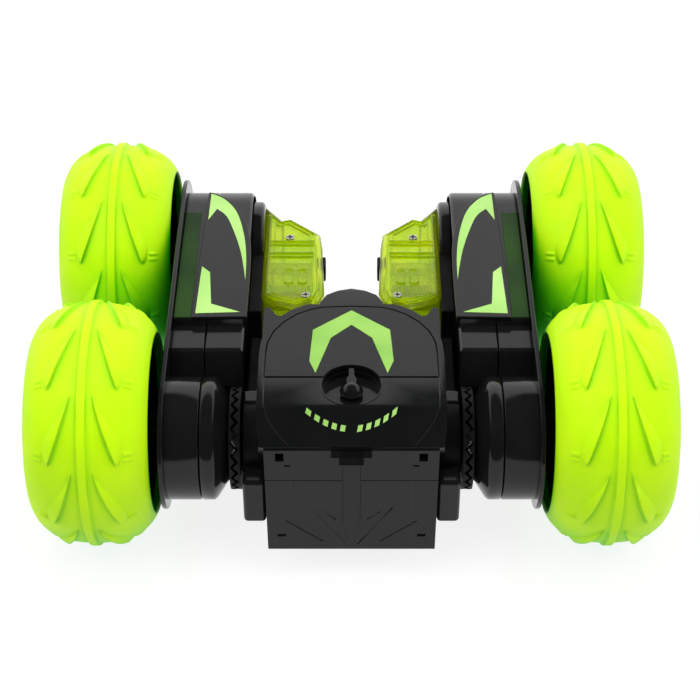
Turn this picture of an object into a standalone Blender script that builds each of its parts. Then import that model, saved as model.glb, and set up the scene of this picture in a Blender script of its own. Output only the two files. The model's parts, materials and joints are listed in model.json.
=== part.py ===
"""RC stunt car: two swinging arms with balloon wheels on either side of a flat central body.

Axes: X across the car, Y along it (the body's nose points to -Y), Z up, origin on the ground
below the middle of the four wheels. Sizes below are in millimetres; MM turns them into metres.
"left" is the -X side and "right" the +X side; "front" is the -Y end and "rear" the +Y end.
"""
import math

import bmesh
import bpy
from mathutils import Vector

MM = 0.001

# ---------------------------------------------------------------- driving dimensions (mm)
WHEEL_RADIUS = 40.0
WHEEL_HALF_WIDTH = 21.3
WHEEL_CENTRE_X = 82.0
CROWN_POWER = 2.28           # the tyre's cross-section: how flat its tread is
SHOULDER_POWER = 5.65        # and how square its shoulders are
BEAD_RADIUS = 29.0
RIM_HALF_WIDTH = 16.6
TYRE_THICKNESS = 2.2
AXLE_Y = 45.625
AXLE_Z = 40.0
AXLE_RADIUS = 2.0
PIVOT_Y = -53.0
PIVOT_Z = 40.0
SHAFT_RADIUS = 3.0
SHAFT_HALF_LENGTH = 42.0

ARM_INNER_X = 35.0
ARM_SEAM_X = 47.5
ARM_OUTER_X = 58.4
FLANGE_OUTER_X = 60.0
ARM_WALL = 1.5
DRUM_RADIUS = 19.7
DRUM_INNER_X = 38.4
FAR_RADIUS = 22.4
ARM_TOP = 22.4               # half height of the arm's raised panel
ARM_LOW = 19.2               # half height of the lower panel in front of it

BODY_HALF_WIDTH = 30.0
BODY_WALL = 2.0
BODY_TOP = 65.0
BODY_BOTTOM = 13.0
SPLIT_GAP = 0.15             # half the gap between two shells
COVER_FRONT_Y = -52.0
COVER_REAR_Y = -17.7
COVER_HALF_WIDTH = 27.3
RECESS_Y = -56.0
RECESS_RADIUS = 9.3
RECESS_FLOOR = 60.0

FINE_MODULE = 1.0            # gear sizes: pitch radius = module * teeth / 2
COARSE_MODULE = 1.25
WHEEL_TEETH = 16
IDLER_TEETH = 24
SMALL_TEETH = 9
LARGE_TEETH = 37
PINION_TEETH = 8
SWING_TEETH = 24
CLUTCH_TEETH = 20

IDLER_Y = AXLE_Y - COARSE_MODULE * (WHEEL_TEETH + IDLER_TEETH) / 2
MOTOR_Y = FINE_MODULE * (LARGE_TEETH + PINION_TEETH) / 2
SWING_MOTOR_DROP = 8.0
SWING_DISTANCE = FINE_MODULE * (SWING_TEETH + PINION_TEETH) / 2
SWING_MOTOR_Y = PIVOT_Y + math.sqrt(SWING_DISTANCE ** 2 - SWING_MOTOR_DROP ** 2)
SWING_MOTOR_Z = PIVOT_Z - SWING_MOTOR_DROP
SWING_GEAR_X = (12.0, 15.0)

PLANE_LARGE = (49.8, 52.8)
PLANE_TRAIN = (53.4, 56.6)
BATTERY_Y = -35.0
BATTERY_Z = 54.0
SCREW_X = 22.5
SCREW_Y = (-64.0, -18.0)

SIDES = (("left", -1), ("right", 1))
ENDS = (("front", -1), ("rear", 1))

# material: colour, roughness, metallic
BLACK = ("black_gloss_plastic", (0.012, 0.013, 0.013), 0.18, 0.0)
DARK = ("black_matte_plastic", (0.020, 0.020, 0.021), 0.50, 0.0)
TYRE = ("neon_rubber", (0.52, 0.92, 0.02), 0.55, 0.0)
LENS = ("neon_clear_plastic", (0.55, 0.80, 0.02), 0.12, 0.0)
STEEL = ("bright_steel", (0.60, 0.60, 0.58), 0.30, 1.0)
BRASS = ("brass", (0.75, 0.55, 0.22), 0.35, 1.0)
NYLON = ("white_nylon", (0.82, 0.82, 0.78), 0.45, 0.0)
GREEN_BOARD = ("circuit_board", (0.02, 0.20, 0.06), 0.40, 0.0)
WRAP = ("battery_wrap", (0.05, 0.22, 0.50), 0.30, 0.0)
ACCENT = ("neon_accent", (0.45, 0.85, 0.05), 0.35, 0.0)


# ---------------------------------------------------------------- building blocks
def clear_scene():
    for item in list(bpy.data.objects):
        bpy.data.objects.remove(item, do_unlink=True)


def material(spec):
    name, colour, roughness, metallic = spec
    found = bpy.data.materials.get(name)
    if found:
        return found
    made = bpy.data.materials.new(name)
    made.use_nodes = True
    shader = made.node_tree.nodes["Principled BSDF"]
    shader.inputs["Base Color"].default_value = (*colour, 1.0)
    shader.inputs["Roughness"].default_value = roughness
    shader.inputs["Metallic"].default_value = metallic
    made.diffuse_color = (*colour, 1.0)
    return made


def finish(mesh_builder, name):
    """Turn a bmesh into an object whose faces point outwards."""
    bmesh.ops.recalc_face_normals(mesh_builder, faces=mesh_builder.faces)
    mesh = bpy.data.meshes.new(name)
    mesh_builder.to_mesh(mesh)
    mesh_builder.free()
    item = bpy.data.objects.new(name, mesh)
    bpy.context.scene.collection.objects.link(item)
    return item


def prism(name, outline, low, high, axis="X"):
    """Extrude a 2-D outline: (y, z) points along X, or (x, y) points along Z."""
    builder = bmesh.new()

    def place(point, height):
        if axis == "X":
            return Vector((height, point[0], point[1])) * MM
        return Vector((point[0], point[1], height)) * MM

    bottom = [builder.verts.new(place(point, low)) for point in outline]
    top = [builder.verts.new(place(point, high)) for point in outline]
    builder.faces.new(bottom)
    builder.faces.new(top)
    count = len(outline)
    for i in range(count):
        j = (i + 1) % count
        builder.faces.new((bottom[i], bottom[j], top[j], top[i]))
    return finish(builder, name)


def box(name, low, high):
    outline = [(low[0], low[1]), (high[0], low[1]), (high[0], high[1]), (low[0], high[1])]
    return prism(name, outline, low[2], high[2], "Z")


def circle(centre, radius, segments, start=0.0, sweep=360.0):
    """Points of a full circle, or of an arc including both of its ends."""
    steps = segments if sweep >= 360.0 else segments + 1
    points = []
    for i in range(steps):
        angle = math.radians(start + sweep * i / segments)
        points.append((centre[0] + radius * math.cos(angle), centre[1] + radius * math.sin(angle)))
    return points


def rod(name, centre, radius, low, high, axis="X", segments=16):
    return prism(name, circle(centre, radius, segments), low, high, axis)


def lathe(name, profile, centre, side, segments):
    """Spin a closed (distance from the middle, radius) profile about a line along X."""
    builder = bmesh.new()
    rings = []
    for across, radius in profile:
        if radius < 1e-6:
            ring = [builder.verts.new(Vector((side * across, centre[0], centre[1])) * MM)]
        else:
            ring = [builder.verts.new(Vector((side * across, y, z)) * MM)
                    for y, z in circle(centre, radius, segments)]
        rings.append(ring)
    for first, second in zip(rings, rings[1:] + rings[:1]):
        for i in range(segments):
            j = (i + 1) % segments
            corners = [first[i % len(first)], first[j % len(first)],
                       second[j % len(second)], second[i % len(second)]]
            unique = list(dict.fromkeys(corners))
            if len(unique) > 2:
                builder.faces.new(unique)
    return finish(builder, name)


def combine(target, tool, operation="DIFFERENCE"):
    """Join or cut two solids, keep the first and throw the second away."""
    change = target.modifiers.new("shape", "BOOLEAN")
    change.operation = operation
    change.solver = "EXACT"
    change.object = tool
    graph = bpy.context.evaluated_depsgraph_get()
    graph.update()
    mesh = bpy.data.meshes.new_from_object(target.evaluated_get(graph))
    target.modifiers.clear()
    old = target.data
    target.data = mesh
    mesh.name = target.name
    bpy.data.meshes.remove(old)
    scrap = tool.data
    bpy.data.objects.remove(tool, do_unlink=True)
    bpy.data.meshes.remove(scrap)
    return target


def add(target, tool):
    return combine(target, tool, "UNION")


def cut(target, tool):
    return combine(target, tool, "DIFFERENCE")


def inset(outline, distance):
    """Move every edge of a counter-clockwise outline inwards by the same distance."""
    count = len(outline)
    lines = []
    for i in range(count):
        ax, ay = outline[i]
        bx, by = outline[(i + 1) % count]
        length = math.hypot(bx - ax, by - ay)
        nx, ny = -(by - ay) / length, (bx - ax) / length
        lines.append((ax + nx * distance, ay + ny * distance, (bx - ax) / length, (by - ay) / length))
    points = []
    for i in range(count):
        px, py, dx, dy = lines[i - 1]
        qx, qy, ex, ey = lines[i]
        cross = dx * ey - dy * ex
        if abs(cross) < 1e-6:
            points.append((qx, qy))
            continue
        step = ((qx - px) * ey - (qy - py) * ex) / cross
        points.append((px + dx * step, py + dy * step))
    return points


def paint(item, spec, smooth=35.0):
    item.data.materials.clear()
    item.data.materials.append(material(spec))
    for face in item.data.polygons:
        face.use_smooth = True
    item.data.set_sharp_from_angle(angle=math.radians(smooth))
    return item


def set_origin(item, x, y, z):
    """Move an object's origin to a point without moving its shape."""
    point = Vector((x, y, z)) * MM
    for vertex in item.data.vertices:
        vertex.co -= point
    item.location = point
    return item


# ---------------------------------------------------------------- gears
def mate_phase(phase, teeth, direction, mate_teeth):
    """Turn of a gear that meshes with another one lying in a direction from it (radians)."""
    here = (direction - phase) * teeth / (2 * math.pi)
    return direction + math.pi - (2 * math.pi / mate_teeth) * (0.5 - here)


def gear_outline(centre, module, teeth, phase):
    pitch_radius = module * teeth / 2
    pitch = 2 * math.pi / teeth
    root = pitch_radius - 1.15 * module
    tip = pitch_radius + 0.80 * module
    root_half = 0.29 * pitch
    tip_half = 0.11 * pitch
    points = []
    for i in range(teeth):
        middle = phase + pitch * i
        corners = ((-root_half, root), (-tip_half, tip), (tip_half, tip), (root_half, root))
        for offset, radius in corners:
            angle = middle + offset
            points.append((centre[0] + radius * math.cos(angle), centre[1] + radius * math.sin(angle)))
    return points


def gear(name, centre, module, teeth, phase, low, high, bore):
    body = prism(name, gear_outline(centre, module, teeth, phase), low, high)
    if bore:
        cut(body, rod("tool", centre, bore, min(low, high) - 1, max(low, high) + 1))
    return body


# ---------------------------------------------------------------- wheels
def tyre_radius(across):
    ratio = min(abs(across - WHEEL_CENTRE_X) / WHEEL_HALF_WIDTH, 1.0)
    return WHEEL_RADIUS * (1.0 - ratio ** CROWN_POWER) ** (1.0 / SHOULDER_POWER)


def tyre_reach(radius):
    """Distance from the tyre's middle at which its outside has this radius."""
    share = 1.0 - (radius / WHEEL_RADIUS) ** SHOULDER_POWER
    return WHEEL_HALF_WIDTH * share ** (1.0 / CROWN_POWER)


def make_wheel(name, side, y):
    centre = (y, AXLE_Z)
    reach = tyre_reach(BEAD_RADIUS)
    outer = []
    steps = 8
    for i in range(steps + 1):
        across = WHEEL_CENTRE_X - reach * math.cos(math.pi * i / steps)
        outer.append((across, tyre_radius(across)))
    inner = []
    scale = (reach - TYRE_THICKNESS) / reach
    for i in range(steps, -1, -2):
        across = WHEEL_CENTRE_X - reach * scale * math.cos(math.pi * i / steps)
        inner.append((across, max(tyre_radius(across) - TYRE_THICKNESS, BEAD_RADIUS)))
    tyre = lathe("tyre_" + name, outer + inner, centre, side, 28)
    paint(tyre, TYRE, 40)

    low = WHEEL_CENTRE_X - RIM_HALF_WIDTH
    high = WHEEL_CENTRE_X + RIM_HALF_WIDTH
    barrel = BEAD_RADIUS - 0.3
    bore = AXLE_RADIUS + 0.06
    rim_profile = [(low, barrel), (high, barrel), (high, barrel - 1.6), (86.0, barrel - 1.6),
                   (86.0, 4.6), (92.0, 4.4), (92.0, bore), (60.4, bore),
                   (60.4, 4.0), (84.0, 4.6), (84.0, barrel - 1.6), (low, barrel - 1.6)]
    rim = lathe("rim_" + name, rim_profile, centre, side, 20)
    paint(rim, BLACK)

    edge = high + 0.3
    cap_profile = [(edge, 0.0), (edge, barrel - 0.4), (edge + 1.0, barrel - 0.4),
                   (100.9, 20.0), (102.1, 10.0), (102.4, 0.0)]
    cap = lathe("hub_cap_" + name, cap_profile, centre, side, 20)
    paint(cap, ACCENT)

    axle = rod("axle_" + name, centre, AXLE_RADIUS, side * 45.2, side * 91.0)
    paint(axle, STEEL)
    for item in (tyre, rim, cap, axle):
        set_origin(item, side * WHEEL_CENTRE_X, y, AXLE_Z)


# ---------------------------------------------------------------- arms
def arm_outline():
    """Side view of an arm's main block: the pivot drum in front, then a step up to the panel."""
    rise = math.degrees(math.atan2(9.95, 17.0))
    upper = [(-36.0, 9.95), (-32.0, 18.5), (-19.6, ARM_LOW), (-18.8, ARM_TOP)]
    far = circle((AXLE_Y, 0.0), FAR_RADIUS, 12, -90.0, 180.0)
    near = circle((PIVOT_Y, 0.0), DRUM_RADIUS, 18, rise, 360.0 - 2 * rise - 0.001)
    lower = [(y, -z) for y, z in upper[1:]]
    points = near[1:-1] + [(y, -z) for y, z in upper[:1]] + lower + far
    points += list(reversed(upper))
    return [(y, z + AXLE_Z) for y, z in points]


def flange_outline():
    near, far = 22.7, 27.5
    lean = math.degrees(math.asin((far - near) / (AXLE_Y - PIVOT_Y)))
    points = circle((AXLE_Y, AXLE_Z), far, 16, -90.0 - lean, 180.0 + 2 * lean)
    points += circle((PIVOT_Y, AXLE_Z), near, 12, 90.0 + lean, 180.0 - 2 * lean)
    return points


def span(side, low, high):
    return (side * low, side * high)


def make_arm_shells(name, side):
    outline = arm_outline()
    hollow = inset(outline, ARM_WALL)
    pivot = (PIVOT_Y, PIVOT_Z)

    inner = prism("arm_inner_shell_" + name, outline, *span(side, ARM_INNER_X, ARM_SEAM_X - SPLIT_GAP))
    add(inner, rod("tool", (AXLE_Y, AXLE_Z), 18.4, *span(side, 30.9, ARM_INNER_X + 0.5), segments=24))
    corners = sorted((side * (ARM_INNER_X - 1.0), side * DRUM_INNER_X))
    cut(inner, box("tool", (corners[0], -80.0, 10.0), (corners[1], -33.5, 70.0)))
    low_y = -33.0
    front = [point for point in hollow]
    cut(inner, prism("tool", front, *span(side, DRUM_INNER_X + 1.6, ARM_SEAM_X + 1.0)))
    pocket = [(y, z) for y, z in hollow if y > low_y]
    cut(inner, prism("tool", pocket, *span(side, ARM_INNER_X + 2.0, DRUM_INNER_X + 2.0)))
    add(inner, rod("tool", pivot, 5.6, *span(side, DRUM_INNER_X + 0.5, 43.6)))
    for end, way in ENDS:
        add(inner, rod("tool", (way * AXLE_Y, AXLE_Z), 4.2,
                       *span(side, DRUM_INNER_X + (0.5 if way < 0 else -2.4), 49.0)))
        cut(inner, rod("tool", (way * AXLE_Y, AXLE_Z), AXLE_RADIUS + 0.06, *span(side, 44.9, 50.0)))
    add(inner, rod("tool", (0.0, AXLE_Z), 3.6, *span(side, ARM_INNER_X + 1.0, 49.4)))
    cut(inner, rod("tool", (0.0, AXLE_Z), 1.56, *span(side, 47.6, 50.0)))
    cut(inner, rod("tool", pivot, SHAFT_RADIUS + 0.08, *span(side, 30.0, SHAFT_HALF_LENGTH + 0.3)))
    cut(inner, rod("tool", (MOTOR_Y, AXLE_Z), 10.4, *span(side, 30.0, 40.0)))
    paint(inner, BLACK)

    outer = prism("arm_outer_shell_" + name, outline, *span(side, ARM_SEAM_X + SPLIT_GAP, ARM_OUTER_X + 0.1))
    add(outer, prism("tool", flange_outline(), *span(side, ARM_OUTER_X, FLANGE_OUTER_X)))
    cut(outer, prism("tool", hollow, *span(side, ARM_SEAM_X - 1.0, 57.0)))
    for end, way in ENDS:
        add(outer, rod("tool", (way * IDLER_Y, AXLE_Z), 1.5, *span(side, 53.5, 57.5)))
        cut(outer, rod("tool", (way * AXLE_Y, AXLE_Z), AXLE_RADIUS + 0.06, *span(side, 56.0, 61.0)))
    cut(outer, rod("tool", (0.0, AXLE_Z), 1.56, *span(side, 56.5, 58.5)))
    paint(outer, BLACK)
    for item in (inner, outer):
        set_origin(item, side * SHAFT_HALF_LENGTH, PIVOT_Y, PIVOT_Z)


def crown(name, side, base, valley, peak, inner_radius, tooth_radius, outer_radius, phase):
    """Face-toothed ring for the slipping clutch; the teeth stand up along X."""
    builder = bmesh.new()
    steps = CLUTCH_TEETH * 2
    radii = [inner_radius, tooth_radius, outer_radius]
    face, back = [], []
    for i in range(steps):
        angle = math.pi * (i + phase) / CLUTCH_TEETH
        height = peak if i % 2 else valley
        row = []
        for radius in radii:
            across = valley if radius < tooth_radius - 0.01 else height
            row.append(builder.verts.new(Vector((side * across, PIVOT_Y + radius * math.cos(angle),
                                                 PIVOT_Z + radius * math.sin(angle))) * MM))
        face.append(row)
        ends = []
        for radius in (inner_radius, outer_radius):
            ends.append(builder.verts.new(Vector((side * base, PIVOT_Y + radius * math.cos(angle),
                                                  PIVOT_Z + radius * math.sin(angle))) * MM))
        back.append(ends)
    for i in range(steps):
        j = (i + 1) % steps
        for k in range(2):
            builder.faces.new((face[i][k], face[j][k], face[j][k + 1], face[i][k + 1]))
        builder.faces.new((back[i][0], back[i][1], back[j][1], back[j][0]))
        builder.faces.new((face[i][2], face[j][2], back[j][1], back[i][1]))
        builder.faces.new((back[i][0], back[j][0], face[j][0], face[i][0]))
    item = finish(builder, name)
    bpy.context.view_layer.update()
    return item


def make_clutch(name, side):
    driver = crown("clutch_driver_" + name, side, 34.4, 35.6, 37.2, SHAFT_RADIUS + 0.05, 9.0, 17.0, 0)
    ring = crown("clutch_ring_" + name, side, 38.1, 37.5, 35.9, 8.0, 9.0, 17.0, 1)
    paint(driver, DARK, 20)
    paint(ring, DARK, 20)

    builder = bmesh.new()
    turns, steps, wire, mean = 2.0, 24, 0.45, 6.0
    rings = []
    for i in range(steps + 1):
        angle = 2 * math.pi * turns * i / steps
        across = side * (31.9 + 1.7 * i / steps)
        centre = Vector((across, PIVOT_Y + mean * math.cos(angle), PIVOT_Z + mean * math.sin(angle)))
        outward = Vector((0.0, math.cos(angle), math.sin(angle)))
        sideways = Vector((1.0, 0.0, 0.0))
        loop = []
        for k in range(5):
            turn = 2 * math.pi * k / 5
            point = centre + outward * wire * math.cos(turn) + sideways * wire * math.sin(turn)
            loop.append(builder.verts.new(point * MM))
        rings.append(loop)
    for first, second in zip(rings, rings[1:]):
        for k in range(5):
            m = (k + 1) % 5
            builder.faces.new((first[k], first[m], second[m], second[k]))
    builder.faces.new(rings[0])
    builder.faces.new(list(reversed(rings[-1])))
    spring = finish(builder, "clutch_spring_" + name)
    paint(spring, STEEL)
    for item in (driver, ring, spring):
        set_origin(item, side * 34.4, PIVOT_Y, PIVOT_Z)


def make_train(name, side):
    """Motor pinion, two-step reduction gear, idlers and wheel gears of one arm."""
    front = 0.0
    wheel_phase = {-1: front}
    idler_phase = {-1: mate_phase(front, WHEEL_TEETH, 0.0, IDLER_TEETH)}
    small = mate_phase(idler_phase[-1], IDLER_TEETH, 0.0, SMALL_TEETH)
    idler_phase[1] = mate_phase(small, SMALL_TEETH, 0.0, IDLER_TEETH)
    wheel_phase[1] = mate_phase(idler_phase[1], IDLER_TEETH, 0.0, WHEEL_TEETH)
    low, high = PLANE_TRAIN
    for end, way in ENDS:
        spot = (way * AXLE_Y, AXLE_Z)
        wheel = gear("wheel_gear_%s_%s" % (end, name), spot, COARSE_MODULE, WHEEL_TEETH,
                     wheel_phase[way], side * low, side * high, AXLE_RADIUS + 0.05)
        spot = (way * IDLER_Y, AXLE_Z)
        idler = gear("idler_gear_%s_%s" % (end, name), spot, COARSE_MODULE, IDLER_TEETH,
                     idler_phase[way], side * low, side * high, 1.56)
        paint(wheel, NYLON, 25)
        paint(idler, NYLON, 25)
        set_origin(wheel, side * 55.0, way * AXLE_Y, AXLE_Z)
        set_origin(idler, side * 55.0, way * IDLER_Y, AXLE_Z)

    middle = (0.0, AXLE_Z)
    reduction = gear("reduction_gear_" + name, middle, COARSE_MODULE, SMALL_TEETH, small,
                     side * 52.6, side * 56.7, 0)
    add(reduction, gear("tool", middle, FINE_MODULE, LARGE_TEETH, 0.0,
                        side * PLANE_LARGE[0], side * PLANE_LARGE[1], 0))
    add(reduction, rod("tool", middle, 1.5, *span(side, 47.9, 58.2)))
    paint(reduction, NYLON, 25)
    set_origin(reduction, side * 52.0, 0.0, AXLE_Z)

    pinion_phase = mate_phase(0.0, LARGE_TEETH, 0.0, PINION_TEETH)
    pinion = gear("motor_pinion_" + name, (MOTOR_Y, AXLE_Z), FINE_MODULE, PINION_TEETH, pinion_phase,
                  side * PLANE_LARGE[0], side * PLANE_LARGE[1], 1.03)
    paint(pinion, BRASS, 25)
    set_origin(pinion, side * 51.3, MOTOR_Y, AXLE_Z)

    motor = rod("drive_motor_" + name, (MOTOR_Y, AXLE_Z), 10.0, *span(side, 14.0, 39.0), segments=20)
    for way in (-1, 1):
        flat = sorted((side * 13.0, side * 40.0))
        heights = sorted((AXLE_Z + way * 7.6, AXLE_Z + way * 12.0))
        cut(motor, box("tool", (flat[0], MOTOR_Y - 12.0, heights[0]), (flat[1], MOTOR_Y + 12.0, heights[1])))
    add(motor, rod("tool", (MOTOR_Y, AXLE_Z), 3.0, *span(side, 38.5, 40.5)))
    add(motor, rod("tool", (MOTOR_Y, AXLE_Z), 1.0, *span(side, 40.0, 52.8), segments=16))
    paint(motor, STEEL)
    set_origin(motor, side * 26.0, MOTOR_Y, AXLE_Z)


def make_motor_cover(name, side):
    outline = [(30.6, 60.6), (23.6, 50.5), (21.4, 51.0), (11.0, 42.0), (9.3, 8.6), (11.0, 3.5),
               (18.7, 1.0), (27.5, 2.7), (30.6, 5.0)]
    if side > 0:
        placed = [(x, y) for x, y in outline]
    else:
        placed = [(-x, y) for x, y in reversed(outline)]
    cover = prism("motor_cover_" + name, placed, 28.5, 51.5, "Z")
    hollow = inset(placed, 1.3)
    hollow = [(side * 32.0 if abs(x) > 28.0 else x, y) for x, y in hollow]
    cut(cover, prism("tool", hollow, 29.8, 50.2, "Z"))
    paint(cover, LENS, 25)
    set_origin(cover, side * 20.0, 26.0, AXLE_Z)

    xs = sorted((side * 14.0, side * 28.0))
    board = box("led_board_" + name, (xs[0], 35.0, 36.0), (xs[1], 41.0, 37.2))
    leds = sorted((side * 19.0, side * 23.0))
    add(board, box("tool", (leds[0], 36.5, 37.0), (leds[1], 39.5, 39.5)))
    paint(board, GREEN_BOARD)
    set_origin(board, side * 21.0, 38.0, 37.0)


# ---------------------------------------------------------------- central body
def body_outline():
    return [(-75.8, BODY_BOTTOM), (-10.0, BODY_BOTTOM), (-6.0, 20.0), (-3.0, 40.0), (-5.5, 55.0),
            (-9.0, 64.0), (-17.0, BODY_TOP), (-65.7, BODY_TOP), (-74.0, 55.3)]


def cover_outline(grow):
    """Battery cover seen from above, with its arched rear end."""
    wide = COVER_HALF_WIDTH + grow
    radius = 15.0 + grow
    middle_x = COVER_HALF_WIDTH - 15.0
    middle_y = COVER_REAR_Y - 15.0
    points = [(-wide, COVER_FRONT_Y - grow), (wide, COVER_FRONT_Y - grow)]
    points += circle((middle_x, middle_y), radius, 8, 0.0, 90.0)
    points += circle((-middle_x, middle_y), radius, 8, 90.0, 90.0)
    return points


def make_body():
    outline = body_outline()
    hollow = inset(outline, BODY_WALL)
    wide = BODY_HALF_WIDTH
    pivot = (PIVOT_Y, PIVOT_Z)
    halves = {}
    for half in ("upper", "lower"):
        shell = prism(half + "_shell", outline, -wide, wide)
        cut(shell, prism("tool", hollow, BODY_WALL - wide, wide - BODY_WALL))
        for name, side in SIDES:
            add(shell, rod("tool", pivot, 14.0, *span(side, wide - 1.0, wide + 1.0), segments=24))
        if half == "upper":
            cut(shell, box("tool", (-50, -90, 0), (50, 20, PIVOT_Z + SPLIT_GAP)))
        else:
            cut(shell, box("tool", (-50, -90, PIVOT_Z - SPLIT_GAP), (50, 20, 90)))
        halves[half] = shell
    upper, lower = halves["upper"], halves["lower"]

    # battery cradle and the cup for the latch knob
    cradle = box("tool", (-wide + 1.0, BATTERY_Y - 8.6, 45.0), (wide - 1.0, BATTERY_Y + 8.6, 53.0))
    add(upper, cradle)
    cut(upper, rod("tool", (BATTERY_Y, BATTERY_Z), 7.4, -26.5, 26.5))
    cut(upper, rod("tool", pivot, 14.0, SWING_GEAR_X[0] - 1.0, SWING_GEAR_X[1] + 1.0))
    add(upper, rod("tool", (0.0, RECESS_Y), RECESS_RADIUS + 1.7, RECESS_FLOOR - 1.6, 62.9, "Z", 24))
    add(upper, box("tool", (-wide + 1.0, -66.5, 60.5), (wide - 1.0, -62.5, 63.5)))

    # screw posts
    for name, side in SIDES:
        for y in SCREW_Y:
            spot = (side * SCREW_X, y)
            add(lower, rod("tool", spot, 3.3, BODY_BOTTOM + 1.0, PIVOT_Z - SPLIT_GAP, "Z", 12))
            cut(lower, rod("tool", spot, 1.5, BODY_BOTTOM - 1.0, PIVOT_Z + 1.0, "Z", 10))
            cut(lower, rod("tool", spot, 2.8, BODY_BOTTOM - 1.0, 16.0, "Z", 12))
            post_top = 62.4 if y < PIVOT_Y else 64.0
            add(upper, rod("tool", spot, 3.3, PIVOT_Z + SPLIT_GAP, post_top, "Z", 12))
            cut(upper, rod("tool", spot, 1.4, PIVOT_Z - 1.0, 50.0, "Z", 10))
        feet = sorted((side * (wide - 1.0), side * 34.2))
        add(lower, box("tool", (feet[0], -74.0, 22.0), (feet[1], -67.5, PIVOT_Z - SPLIT_GAP)))

    # openings in the top for the battery cover and the latch knob
    cut(upper, prism("tool", cover_outline(0.3), 62.95, 67.0, "Z"))
    cut(upper, rod("tool", (0.0, RECESS_Y), RECESS_RADIUS, RECESS_FLOOR, 67.0, "Z", 24))

    # saddles for the swing motor, and the slot for the power switch
    for x in (-12.0, 6.0):
        add(lower, box("tool", (x - 1.2, SWING_MOTOR_Y - 9.0, BODY_BOTTOM + 1.0),
                       (x + 1.2, SWING_MOTOR_Y + 9.0, 29.0)))
        cut(lower, rod("tool", (SWING_MOTOR_Y, SWING_MOTOR_Z), 7.8, x - 2.0, x + 2.0))
    cut(lower, box("tool", (-4.2, -24.2, BODY_BOTTOM - 1.0), (4.2, -19.8, 17.0)))

    for shell in (upper, lower):
        cut(shell, rod("tool", pivot, SHAFT_RADIUS + 0.08, -wide - 3.0, wide + 3.0))
        paint(shell, BLACK)

    for number, (x, y) in enumerate([(s * SCREW_X, y) for _, s in SIDES for y in SCREW_Y], 1):
        screw = rod("shell_screw_%d" % number, (x, y), 2.5, 13.5, 15.7, "Z", 12)
        add(screw, rod("tool", (x, y), 1.3, 15.0, 48.0, "Z", 10))
        cut(screw, box("tool", (x - 1.8, y - 0.3, 13.0), (x + 1.8, y + 0.3, 14.3)))
        paint(screw, STEEL)

    cover = prism("battery_cover", cover_outline(0.0), 63.2, BODY_TOP, "Z")
    cut(cover, rod("tool", (0.0, RECESS_Y), RECESS_RADIUS + 0.3, 60.0, 67.0, "Z", 24))
    paint(cover, BLACK)
    set_origin(cover, 0.0, COVER_REAR_Y, BODY_TOP)

    knob = rod("latch_knob", (0.0, RECESS_Y), 3.2, RECESS_FLOOR + 0.3, 62.6, "Z", 24)
    add(knob, rod("tool", (0.0, RECESS_Y), 2.3, 62.0, 63.6, "Z", 24))
    add(knob, box("tool", (-1.3, RECESS_Y, RECESS_FLOOR + 0.3), (1.3, RECESS_Y + 8.6, 62.2)))
    paint(knob, BLACK)
    set_origin(knob, 0.0, RECESS_Y, RECESS_FLOOR)

    slider = box("switch_slider", (-5.5, -24.9, 15.2), (2.5, -19.1, 16.2))
    add(slider, box("tool", (-3.6, -23.9, 13.3), (0.6, -20.1, 15.5)))
    paint(slider, DARK)
    set_origin(slider, -1.5, -22.0, 15.2)

    board = box("circuit_board", (-18.0, -27.0, 20.0), (18.0, -12.5, 21.4))
    for low, high in (((-12.0, -24.0, 21.0), (-6.0, -18.0, 22.6)), ((4.0, -22.0, 21.0), (14.0, -17.0, 24.0))):
        add(board, box("tool", low, high))
    paint(board, GREEN_BOARD)

    cell = rod("battery_cell", (BATTERY_Y, BATTERY_Z), 7.0, -24.5, 24.5, segments=20)
    add(cell, rod("tool", (BATTERY_Y, BATTERY_Z), 2.6, 24.0, 25.6))
    paint(cell, WRAP)


def make_swing_drive():
    shaft = rod("swing_shaft", (PIVOT_Y, PIVOT_Z), SHAFT_RADIUS, -SHAFT_HALF_LENGTH,
                SHAFT_HALF_LENGTH)
    paint(shaft, STEEL)
    low, high = SWING_GEAR_X
    big = gear("swing_gear", (PIVOT_Y, PIVOT_Z), FINE_MODULE, SWING_TEETH, 0.0, low, high,
               SHAFT_RADIUS + 0.08)
    paint(big, NYLON, 25)
    direction = math.atan2(SWING_MOTOR_Z - PIVOT_Z, SWING_MOTOR_Y - PIVOT_Y)
    phase = mate_phase(0.0, SWING_TEETH, direction, PINION_TEETH)
    spot = (SWING_MOTOR_Y, SWING_MOTOR_Z)
    small = gear("swing_pinion", spot, FINE_MODULE, PINION_TEETH, phase, low, high, 1.03)
    paint(small, BRASS, 25)
    for item in (shaft, big):
        set_origin(item, 0.0, PIVOT_Y, PIVOT_Z)
    set_origin(small, 13.5, SWING_MOTOR_Y, SWING_MOTOR_Z)

    motor = rod("swing_motor", spot, 7.5, -14.0, 9.0, segments=20)
    add(motor, rod("tool", spot, 2.5, 8.5, 10.5))
    add(motor, rod("tool", spot, 1.0, 10.0, 15.0, segments=16))
    paint(motor, STEEL)


def build():
    clear_scene()
    make_body()
    make_swing_drive()
    for name, side in SIDES:
        make_arm_shells(name, side)
        make_clutch(name, side)
        make_train(name, side)
        make_motor_cover(name, side)
        for end, way in ENDS:
            make_wheel(end + "_" + name, side, way * AXLE_Y)


build()
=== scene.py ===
import json
import math

import bmesh
import bpy
import numpy as np
from mathutils import Matrix, Vector


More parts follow.
